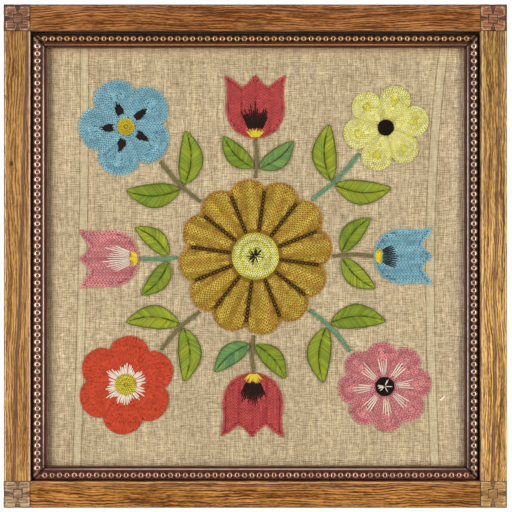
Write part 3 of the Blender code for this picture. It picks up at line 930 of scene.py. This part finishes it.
def chainLine(work, line, width, length, level, colour, closed=False, other=None):
    # The dye drifts along the yarn, and some stitches lean towards the other colour
    spots = evenly(line, length, closed)
    count = len(spots) - 1
    wide = width * (1.0 + chance.uniform(-0.10, 0.08, count))
    tones = dyed(colour, count)
    if other:
        tones += (dyed(other, count) - tones) * chance.uniform(0.0, 1.0, (count, 1)) ** 4
    marks = np.arange(0, count + 5, 5)
    drift = np.interp(np.arange(count), marks, chance.normal(0.0, 0.08, len(marks)))
    tones = np.clip(tones * (1.0 + drift[:, None]), 0.0, 1.0)
    work.lay(link, spots[:-1], spots[1:], wide, 0.85, level, 0.1, tones)


def chainRows(work, outline, pitch, length, level, colours):
    # Rows of chain stitch that follow the edge, one inside the other
    middle = deepest(outline)
    for row in range(60):
        colour = colours[row % len(colours)]
        line = contour(outline, middle, pitch * (0.55 + row))
        if line is None:
            break
        if travelled(ringOf(line))[-1] < 4.0 * length:
            # A small core is closed with one short row along its longest way
            first = line[np.argmax(np.hypot(*(line - middle).T))]
            last = line[np.argmax(np.hypot(*(line - first).T))]
            reach = max(1.0, length / max(0.1, np.hypot(*(last - first))))
            core = middle + (np.array([first, last]) - middle) * reach
            chainLine(work, core, pitch * 1.1, length, level, colour)
            break
        chainLine(work, line, pitch * 1.06, length, level, colour, True, colours[(row + 1) % len(colours)])


def chainColumns(work, outline, ahead, pitch, length, level, colours, inset, shift=0):
    # Straight columns of chain stitch, each as long as the outline lets it be
    aside = leftOf(ahead)
    middle = outline.mean(axis=0)
    across = (outline - middle) @ aside
    forward = (outline - middle) @ ahead
    marks = np.arange(forward.min(), forward.max(), 0.4)
    count = int((across.max() - across.min()) / pitch) // 2 + 1
    for column in range(-count, count + 1):
        spots = middle + aside * (column * pitch) + ahead[None, :] * marks[:, None]
        clear = depthInside(outline, spots) > inset
        runs = np.flatnonzero(np.diff(np.concatenate([[0], clear.astype(int), [0]])))
        for start, stop in zip(runs[::2], runs[1::2]):
            if marks[stop - 1] - marks[start] >= 0.7 * length:
                place = column + shift
                chainLine(work, spots[[start, stop - 1]], pitch * 1.06, length, level,
                          colours[place % len(colours)], False, colours[(place + 1) % len(colours)])


def straight(work, starts, ends, width, level, colour, dip=0.5, spread=0.06, thick=0.75):
    count = len(starts)
    wide = width * (1.0 + chance.uniform(-0.12, 0.12, count))
    work.lay(strand, starts, ends, wide, thick, level, dip, dyed(colour, count, spread))


def stemRow(work, line, width, level, colour, closed=False, pitch=2.1):
    # Stem stitch: each strand starts beside the middle of the one before
    spots = evenly(line, pitch, closed)
    if closed:
        spots = np.concatenate([spots, spots[1:2]])
    ahead = spots[2:] - spots[:-2]
    lean = leftOf(ahead) / np.hypot(*ahead.T)[:, None] * (width * 0.16)
    straight(work, spots[:-2] - lean, spots[2:] + lean, width, level, colour, 0.25, 0.12, 0.7)


# The same outlines as the solids: round blooms, tulips, stems and leaves. Angles are in degrees
blooms = named(
    "middle radius petals notch turn heart",
    ("gold_bloom", (0.0, 0.0), 79.0, 12, 0.13, 7.0, 24.0),
    ("yellow_bloom", (132.0, 130.0), 44.0, 6, 0.30, 12.0, 8.5),
    ("blue_bloom", (-131.0, 131.0), 49.0, 5, 0.24, 40.0, 9.0),
    ("red_bloom", (-131.0, -130.0), 50.0, 6, 0.22, 25.0, 11.0),
    ("pink_bloom", (131.0, -132.0), 47.0, 8, 0.17, 5.0, 10.0),
)
tulips = named(
    "angle base length half slot ground pitch accent accentCount accentReach",
    ("tulip_north", 90.0, 119.0, 66.0, 30.0, "wool_crimson", "crimson", 2.8, "black", 15, 0.42),
    ("tulip_south", 269.0, 118.0, 67.0, 31.0, "wool_crimson", "crimson", 2.8, "black", 15, 0.40),
    ("tulip_west", 181.0, 118.0, 62.0, 29.0, "wool_pink", "pink", 3.1, "cream", 13, 0.50),
    ("tulip_east", 0.0, 120.0, 61.0, 28.0, "wool_blue", "blue", 3.0, "black", 11, 0.34),
)
# One side of a tulip: share of its length, and of its half width
tulipHalf = ((0.00, 0.10), (0.03, 0.40), (0.12, 0.72), (0.28, 0.93), (0.46, 1.00), (0.66, 0.96), (0.84, 0.97),
             (0.98, 1.06), (0.90, 0.76), (0.78, 0.46), (0.86, 0.22))
# Stems, and the pair of leaves on each: where it starts, how it spreads, its length, half width and bend
stems = named(
    "angle bow start spread length half bend",
    ("tulip_east", 0.0, 1.5, 0.22, 46.0, 46.0, 10.5, 4.0),
    ("yellow_bloom", 45.0, -3.0, 0.40, 47.0, 58.0, 12.5, 6.0),
    ("tulip_north", 90.0, -1.5, 0.25, 47.0, 45.0, 10.5, 4.0),
    ("blue_bloom", 135.0, 3.0, 0.40, 46.0, 56.0, 12.5, 6.0),
    ("tulip_west", 181.0, 1.5, 0.22, 45.0, 45.0, 10.0, 4.0),
    ("red_bloom", 225.0, -3.0, 0.42, 46.0, 55.0, 12.0, 6.0),
    ("tulip_south", 269.0, -1.5, 0.24, 46.0, 46.0, 10.5, 4.0),
    ("pink_bloom", 315.0, 3.0, 0.41, 47.0, 57.0, 12.5, 6.0),
)


def petalAngle(bloom, petal):
    return math.radians(bloom["turn"]) + fullTurn * petal / bloom["petals"]


def petalWave(bloom, angles):
    # 1 along the middle of each petal, 0 along the seams
    return np.abs(np.cos(bloom["petals"] * (angles - math.radians(bloom["turn"])) / 2.0))


def bloomReach(bloom, angles):
    sway = 1.0 + 0.018 * np.sin(2.0 * angles + bloom["petals"]) + 0.012 * np.sin(3.0 * angles)
    return bloom["radius"] * sway * (1.0 - bloom["notch"] * (1.0 - petalWave(bloom, angles) ** 0.62))


def aroundBloom(bloom, angles, reach):
    return np.array(bloom["middle"]) + heading(angles) * np.reshape(reach, (-1, 1))


def petalOutline(bloom, petal, inner):
    half = math.pi / bloom["petals"]
    outer = petalAngle(bloom, petal) + np.linspace(-half, half, 15)
    back = petalAngle(bloom, petal) + np.linspace(half, -half, 5)
    rim = aroundBloom(bloom, outer, bloomReach(bloom, outer))
    return np.concatenate([rim, aroundBloom(bloom, back, inner)])


def bloomFill(work, bloom, inset, dye):
    angles = allRound(bloom["petals"] * 12) + math.radians(bloom["turn"])
    work.fill(aroundBloom(bloom, angles, bloomReach(bloom, angles) - inset), dyes[dye])


def rays(work, bloom, angles, inner, outer, width, colour, level="over"):
    # Straight stitches that point away from a bloom's middle
    starts, ends = (aroundBloom(bloom, angles, reach) for reach in (inner, outer))
    straight(work, starts, ends, width, levels[level], colour)


def heart(name, slotName, colours, pitch, eye=None):
    bloom = blooms[name]
    work = Stitches()
    outline = aroundBloom(bloom, allRound(32), bloom["heart"] + chance.normal(0.0, 0.12, 32))
    # The heart's pad is darker than its wool: painted shade between the stitches
    deep = tinted(dyes[colours[0]], 0.6)
    work.fill(drawnIn(outline, 0.06, bloom["middle"]), deep, foot="heartFoot", top="heartFill")
    chainRows(work, outline, pitch, pitch * 1.1, levels["heart"], colours)
    if eye:
        spread = np.sort(chance.uniform(0.0, fullTurn, eye["count"]))
        inner = chance.uniform(0.0, eye["inner"], eye["count"])
        outer = chance.uniform(0.6, 1.0, eye["count"]) * eye["outer"]
        rays(work, bloom, spread, inner, outer, 1.0, eye["dye"], "heartOver")
    work.join(name.replace("bloom", "heart"), slotName)


def goldBloom():
    # Ribbed petals in columns of chain stitch, with a dark line along each seam
    bloom = blooms["gold_bloom"]
    work = Stitches()
    bloomFill(work, bloom, 1.3, "goldDeep")
    angles = allRound(144)
    rim = aroundBloom(bloom, angles, bloomReach(bloom, angles) - 1.6)
    chainLine(work, rim, 3.2, 3.4, levels["stitch"], "ochre", True)
    bands = ("mustard", "gold", "mustard", "ochre", "mustard", "gold", "mustard", "olive", "ochre")
    for petal in range(bloom["petals"]):
        angle = petalAngle(bloom, petal)
        outline = petalOutline(bloom, petal, 24.2)
        chainColumns(work, outline, heading(angle), 3.2, 3.4, levels["stitch"], bands, 3.3, petal * 2)
        seam = angle + math.pi / bloom["petals"]
        line = aroundBloom(bloom, np.full(2, seam), np.array([24.8, bloomReach(bloom, seam) - 3.2]))
        chainLine(work, line, 4.0, 3.7, levels["stitch"] + 0.05, "darkBrown")
    work.join("gold_bloom", "wool_gold")


def chainBloom(name, pitch, length, colours, fill):
    bloom = blooms[name]
    work = Stitches()
    bloomFill(work, bloom, 0.9, fill)
    for petal in range(bloom["petals"]):
        # One lower row down the middle shows wherever the rows leave a gap
        axis = np.full(2, petalAngle(bloom, petal))
        spine = aroundBloom(bloom, axis, np.array([bloom["heart"] + 1.0, bloom["radius"] - 8.0]))
        chainLine(work, spine, pitch * 1.5, length, levels["stitch"] - 0.25, colours[0])
        outline = petalOutline(bloom, petal, bloom["heart"] - 1.0)
        chainRows(work, outline, pitch, length, levels["stitch"], colours)
    return work, bloom


def yellowBloom():
    colours = ("paleYellow", "creamYellow", "paleYellow", "creamYellow", "yellow", "yellow")
    work = chainBloom("yellow_bloom", 2.6, 2.8, colours, "yellowDeep")[0]
    work.join("yellow_bloom", "wool_yellow")


def blueBloom():
    work, bloom = chainBloom("blue_bloom", 3.0, 3.2, ("blue", "blue", "blueDark", "blue"), "blueDeep")
    for petal in range(bloom["petals"]):
        angles = petalAngle(bloom, petal) + np.linspace(-0.20, 0.20, 9)
        fall = 1.0 - np.abs(np.linspace(-1.0, 1.0, 9)) ** 1.6 * 0.55
        outer = 13.5 + 14.0 * fall * chance.uniform(0.75, 1.1, 9)
        rays(work, bloom, angles, chance.uniform(11.5, 14.5, 9), outer, 1.5, "black")
    work.join("blue_bloom", "wool_blue")


def redBloom():
    # Long and short satin stitches in rings, with a cream star over them
    bloom = blooms["red_bloom"]
    work = Stitches()
    bloomFill(work, bloom, 0.8, "redDeep")
    for ring in np.arange(bloom["heart"] - 1.0, bloom["radius"], 4.1):
        count = int(fullTurn * (ring + 2.5) / 1.02)
        angles = allRound(count) + chance.normal(0.0, 0.004, count)
        inner = ring + chance.uniform(-1.3, 1.3, count)
        outer = np.minimum(inner + chance.uniform(4.6, 6.6, count), bloomReach(bloom, angles) - 0.2)
        keep = outer - inner > 1.4
        seam = petalWave(bloom, angles) < 0.045
        level = levels["stitch"] + (np.where(seam, -0.25, 0.0) + chance.uniform(-0.08, 0.08, count))
        patch = 1.0 + 0.06 * np.sin(3.0 * angles + ring) + 0.05 * np.sin(7.0 * angles - ring * 0.3)
        tones = dyed("red", count, 0.06) * (patch * np.where(seam, 0.8, 1.0))[:, None]
        work.lay(strand, aroundBloom(bloom, angles, inner)[keep], aroundBloom(bloom, angles, outer)[keep],
                 1.22, 0.8, level[keep], 0.35, tones[keep])
    count = 54
    angles = allRound(count) + chance.normal(0.0, 0.02, count)
    outer = 13.0 + (3.0 + 9.0 * petalWave(bloom, angles)) * chance.uniform(0.5, 1.1, count)
    rays(work, bloom, angles, np.full(count, 10.0), outer, 1.7, "cream")
    work.join("red_bloom", "wool_red")


def pinkBloom():
    work, bloom = chainBloom("pink_bloom", 3.1, 3.3, ("pink", "pinkDark", "pink"), "pinkDeep")
    for petal in range(bloom["petals"]):
        angles = petalAngle(bloom, petal) + np.array([-0.15, -0.05, 0.05, 0.15])
        outer = chance.uniform(24.0, 33.0, 4)
        rays(work, bloom, angles, chance.uniform(11.0, 15.0, 4), outer, 1.35, "cream")
    work.join("pink_bloom", "wool_pink")


goldBloom()
yellowBloom()
blueBloom()
redBloom()
pinkBloom()
heart("gold_bloom", "wool_yellow", ("yellow", "paleYellow", "creamYellow"), 2.4,
      {"count": 26, "inner": 1.0, "outer": 9.5, "dye": "darkBrown"})
heart("yellow_bloom", "wool_dark", ("black",), 1.7)
heart("blue_bloom", "wool_yellow", ("eyeYellow",), 2.1)
heart("red_bloom", "wool_yellow", ("eyeYellow", "yellow"), 2.1)
heart("pink_bloom", "wool_dark", ("black",), 1.8, {"count": 9, "inner": 2.0, "outer": 8.5, "dye": "cream"})
print("blooms stitched", woolCount)


def tulipPlace(tulip, along, out):
    ahead = heading(math.radians(tulip["angle"]))
    along, out = np.broadcast_arrays(along, out)
    far = tulip["base"] + along * tulip["length"]
    return ahead * far[..., None] + leftOf(ahead) * (out * tulip["half"])[..., None]


def stitchTulip(name, tulip):
    work = Stitches()
    ground, pitch, level = tulip["ground"], tulip["pitch"], levels["stitch"]
    along, out = np.array(tulipHalf).T
    outline = np.concatenate([tulipPlace(tulip, along, -out), tulipPlace(tulip, [0.99], 0.0),
                              tulipPlace(tulip, along[::-1], out[::-1])])
    work.fill(drawnIn(outline, 0.03), dyes[ground + "Deep"])
    smooth = evenly(ringOf(outline), 2.0)[:-1]
    chainLine(work, drawnIn(smooth, 0.035, deepest(outline)), pitch, pitch * 1.08, level, ground, True)
    chainColumns(work, outline, heading(math.radians(tulip["angle"])), pitch, pitch * 1.08, level,
                 (ground, ground, ground + "Dark", ground, ground), pitch * 0.95, 2)
    # The dark or cream throat, and the yellow foot over it
    share = np.linspace(-1.0, 1.0, tulip["accentCount"])
    reach = tulip["accentReach"] * (1.0 - 0.35 * np.abs(share)) * chance.uniform(0.7, 1.1, len(share))
    ends = tulipPlace(tulip, 0.14 + reach, share * (0.24 + 0.85 * reach))
    straight(work, tulipPlace(tulip, 0.14, share * 0.22), ends, 1.35, levels["over"], tulip["accent"])
    share = np.linspace(-1.0, 1.0, 13)
    reach = 0.15 + chance.uniform(-0.02, 0.03, len(share)) - 0.06 * share ** 2
    ends = tulipPlace(tulip, reach, share * 0.30)
    straight(work, tulipPlace(tulip, 0.015, share * 0.10), ends, 1.5, levels["over"] + 0.1, "eyeYellow")
    work.join(name, tulip["slot"])


for name, tulip in tulips.items():
    stitchTulip(name, tulip)
print("tulips stitched")


def stemLine(goal, stem):
    angle = math.radians(stem["angle"])
    ahead = heading(angle)
    start = ahead * (bloomReach(blooms["gold_bloom"], angle) + 2.0)
    if goal in blooms:
        middle = np.array(blooms[goal]["middle"])
        back = start - middle
        reach = bloomReach(blooms[goal], math.atan2(back[1], back[0])) + 2.6
        finish = middle + back / np.hypot(*back) * reach
    else:
        finish = ahead * (tulips[goal]["base"] - 0.8)
    share = np.linspace(0.0, 1.0, 6)[:, None]
    return start + (finish - start) * share + leftOf(ahead) * (stem["bow"] * np.sin(math.pi * share))


def stitchStem(goal, line, colour):
    work = Stitches()
    ahead = np.gradient(line, axis=0)
    side = leftOf(ahead) / np.hypot(*ahead.T)[:, None]
    outline = np.concatenate([line - side * 1.7, (line + side * 1.7)[::-1]])
    work.fill(outline, dyes[colour], 0.6)
    for row in (-1.0, 0.0, 1.0):
        stemRow(work, line + side * (row * 1.25), 1.35, levels["stitch"] + 0.1, colour)
    work.join("stem_to_" + goal, "wool_stem")


def stitchLeaf(goal, letter, hand, line, stem, colour):
    # Slanting satin stitches on both sides of a vein, with stem stitch round the edge
    work = Stitches()
    place = stem["start"] * (len(line) - 1)
    index = int(place)
    ahead = line[index + 1] - line[index]
    spot = line[index] + ahead * (place - index)
    start = spot + leftOf(ahead / np.hypot(*ahead)) * (hand * 3.1)
    along = heading(math.atan2(ahead[1], ahead[0]) + hand * math.radians(stem["spread"]))
    aside = leftOf(along)

    def spine(share):
        share = np.asarray(share)[..., None]
        bend = aside * (hand * stem["bend"] * np.sin(math.pi * share))
        return start + along * (stem["length"] * share) + bend

    def width(share):
        return stem["half"] * np.sin(math.pi * share ** 0.85) ** 0.80

    def edgeAt(share, which):
        return spine(share) + aside * (which * width(share))[..., None]

    share = np.linspace(0.0, 1.0, 25)[1:-1]
    outline = np.concatenate([spine([0.0]), edgeAt(share, -1.0), spine([1.0]), edgeAt(share[::-1], 1.0)])
    work.fill(drawnIn(outline, 0.05), dyes[colour], 0.7)
    count = int(stem["length"] / 1.02)
    for which in (-1.0, 1.0):
        base = np.linspace(0.02, 0.93, count) + chance.normal(0.0, 0.002, count)
        tip = np.minimum(0.985, base + 0.70 * width(base) / stem["length"])
        starts = spine(base) + aside * (which * 0.25)
        ends = spine(tip) + aside * (which * width(tip) * 0.955)[:, None]
        tones = dyed(colour, count, 0.15)
        drift = np.interp(base * stem["length"], np.arange(0.0, 80.0, 5.0), chance.normal(0.0, 1.0, 16))
        tones = np.clip(tones * (1.0 + drift[:, None] * (0.11, 0.05, -0.08)), 0.0, 1.0)
        work.lay(strand, starts, ends, 1.25, 0.75, levels["stitch"] + 0.02, 0.55, tones)
    stemRow(work, drawnIn(outline, 0.012), 0.85, levels["stitch"] + 0.08, "leafEdge", True, 2.2)
    vein = evenly(spine(np.linspace(0.04, 0.86, 20)), 3.4)
    keep = chance.uniform(0.0, 1.0, len(vein) - 1) > 0.25
    lean = aside * chance.uniform(-0.35, 0.35, (len(vein) - 1, 1))
    starts, ends = (vein[:-1] + lean)[keep], (vein[1:] - lean)[keep]
    straight(work, starts, ends, 0.9, levels["stitch"] + 0.28, "leafVein", 0.3)
    work.join("leaf_" + letter + "_by_" + goal, "wool_leaf")


greens = ("leaf", "leafDark", "leaf", "leaf", "leafBlue", "leafDark", "leaf", "leafDark")
for order, (goal, stem) in enumerate(stems.items()):
    line = stemLine(goal, stem)
    stitchStem(goal, line, "stemBlue" if order % 3 == 1 else "stem")
    for letter, hand in (("a", -1.0), ("b", 1.0)):
        green = greens[(order * 2 + (letter == "b")) % len(greens)]
        stitchLeaf(goal, letter, hand, line, stem, green)
print("stems and leaves stitched", sum(woolCount.values()), "triangles of wool")
